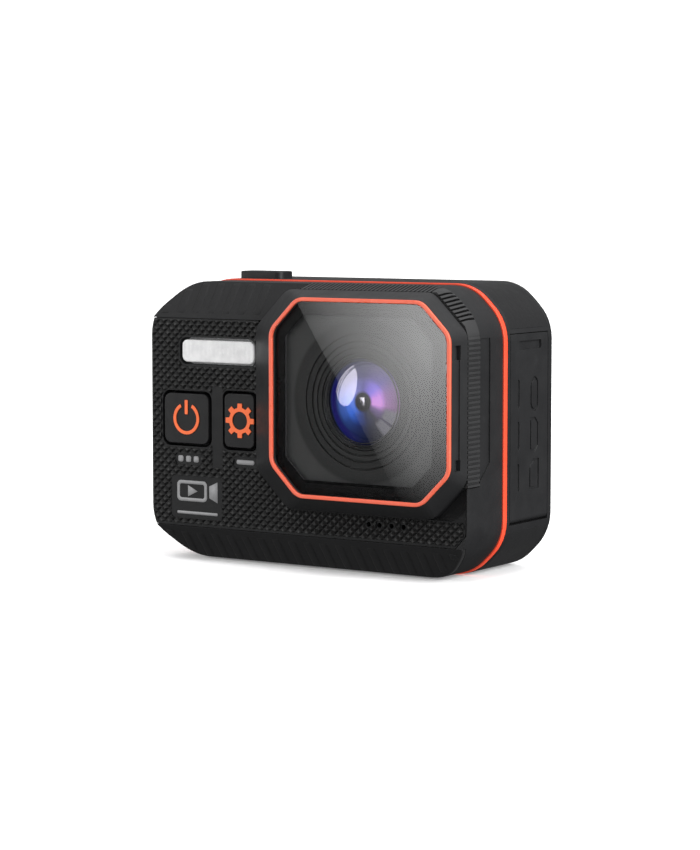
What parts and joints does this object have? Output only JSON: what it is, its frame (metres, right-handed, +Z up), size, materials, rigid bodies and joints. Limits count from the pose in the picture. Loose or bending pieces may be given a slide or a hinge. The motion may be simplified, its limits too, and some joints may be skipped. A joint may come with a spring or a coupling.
{
  "type": "action camera",
  "caption": "Compact waterproof action camera with an octagonal lens turret, front fill light, two front buttons, top shutter button, rear screen and two hinged side doors.",
  "frame": {"origin": "mouth of the tripod socket in the base, on the socket's axis", "axes": "+X to the right of someone facing the lens, +Y from the lens towards the screen, +Z up"},
  "size_m": [0.0666, 0.0352, 0.0513],
  "materials": {
    "shell_plastic": "fine moulded texture, charcoal",
    "bezel_plastic": "satin moulded plastic, charcoal",
    "panel_plastic": "small raised diamonds, charcoal",
    "grip_rubber": "matt rubber with fine grain",
    "seam_orange": "smooth silicone, orange red",
    "trim_orange": "anodised, satin, orange red",
    "cover_glass": "polished and coated",
    "border_ink": "printed black border",
    "gasket_rubber": "soft silicone",
    "mask_black": "matt black with ring grooves",
    "barrel_black": "black anodised",
    "lens_glass": "coated optical glass, blue and violet reflections",
    "filter_glass": "blue-green filter glass",
    "chip_black": "sensor package",
    "board_green": "solder mask",
    "board_white": "white solder mask",
    "light_diffuser": "milky diffuser",
    "led_yellow": "phosphor",
    "switch_metal": "pressed steel can",
    "button_black": "smooth satin black",
    "icon_orange": "printed orange",
    "print_grey": "printed light grey",
    "mesh_metal": "fine mesh on the microphone can",
    "speaker_black": "moulded box",
    "frame_metal": "die-cast, blasted",
    "card_black": "moulded card",
    "bay_plastic": "moulded",
    "battery_wrap": "can in a dark blue wrap",
    "contact_gold": "gold plated spring contacts",
    "lcd_black": "dark screen",
    "display_glass": "dark polished screen glass",
    "insert_brass": "turned brass",
    "screw_steel": "blackened steel",
    "pin_steel": "polished steel"
  },
  "bodies": {
    "housing": {"front_shell": "shell_plastic", "rear_shell": "shell_plastic", "seam_seal": "seam_orange", "front_panel": "panel_plastic", "top_grip": "grip_rubber", "bottom_grip": "grip_rubber", "corner_pads": "grip_rubber", "rib_band": "grip_rubber", "lens_bezel": "bezel_plastic", "lens_trim": "trim_orange", "cover_glass": "cover_glass", "glass_border": "border_ink", "glass_gasket": "gasket_rubber", "lens_mask": "mask_black", "lens_barrel": "barrel_black", "retaining_ring": "barrel_black", "front_element": "lens_glass", "inner_elements": "lens_glass", "lens_spacers": "barrel_black", "lens_holder": "barrel_black", "ir_filter": "filter_glass", "image_sensor": "chip_black", "sensor_board": "board_green", "fill_light_window": "light_diffuser", "led_board": "board_white", "leds": "led_yellow", "button_board": "board_green", "front_switches": "switch_metal", "top_switch_board": "board_green", "shutter_switch": "switch_metal", "panel_marks": "print_grey", "microphone": "mesh_metal", "speaker": "speaker_black", "inner_frame": "frame_metal", "main_board": "board_green", "usb_socket": "switch_metal", "hdmi_socket": "switch_metal", "card_socket": "switch_metal", "battery_bay": "bay_plastic", "battery": "battery_wrap", "battery_contacts": "contact_gold", "lcd_panel": "lcd_black", "display_glass": "display_glass", "tripod_insert": "insert_brass", "case_screws": "screw_steel", "hinge_pins": "pin_steel"},
    "mode_button_unit": {"mode_button": "button_black", "power_icon": "icon_orange", "mode_seal": "gasket_rubber"},
    "settings_button_unit": {"settings_button": "button_black", "gear_icon": "icon_orange", "settings_seal": "gasket_rubber"},
    "shutter_button_unit": {"shutter_button": "button_black", "shutter_seal": "gasket_rubber"},
    "port_door_unit": {"port_door": "shell_plastic", "port_door_gasket": "gasket_rubber"},
    "battery_door_unit": {"battery_door": "shell_plastic", "battery_door_gasket": "gasket_rubber"},
    "card": {"memory_card": "card_black"}
  },
  "joints": [
    {"name": "mode_press", "type": "slide", "parent": "housing", "child": "mode_button_unit", "axis": [0, 1, 0], "range_m": [0, 0.00035], "stiffness_N_per_m": 4000},
    {"name": "settings_press", "type": "slide", "parent": "housing", "child": "settings_button_unit", "axis": [0, 1, 0], "range_m": [0, 0.00035], "stiffness_N_per_m": 4000},
    {"name": "shutter_press", "type": "slide", "parent": "housing", "child": "shutter_button_unit", "axis": [0, 0, -1], "range_m": [0, 0.0004], "stiffness_N_per_m": 4000},
    {"name": "port_door_hinge", "type": "hinge", "parent": "housing", "child": "port_door_unit", "pos_m": [0.0324, -0.0006, 0.0099], "axis": [0, 1, 0], "range_deg": [0, 100]},
    {"name": "battery_door_hinge", "type": "hinge", "parent": "housing", "child": "battery_door_unit", "pos_m": [-0.0324, -0.0006, 0.0099], "axis": [0, -1, 0], "range_deg": [0, 100]},
    {"name": "card_push", "type": "slide", "parent": "housing", "child": "card", "axis": [-1, 0, 0], "range_m": [0, 0.0005], "stiffness_N_per_m": 800}
  ]
}
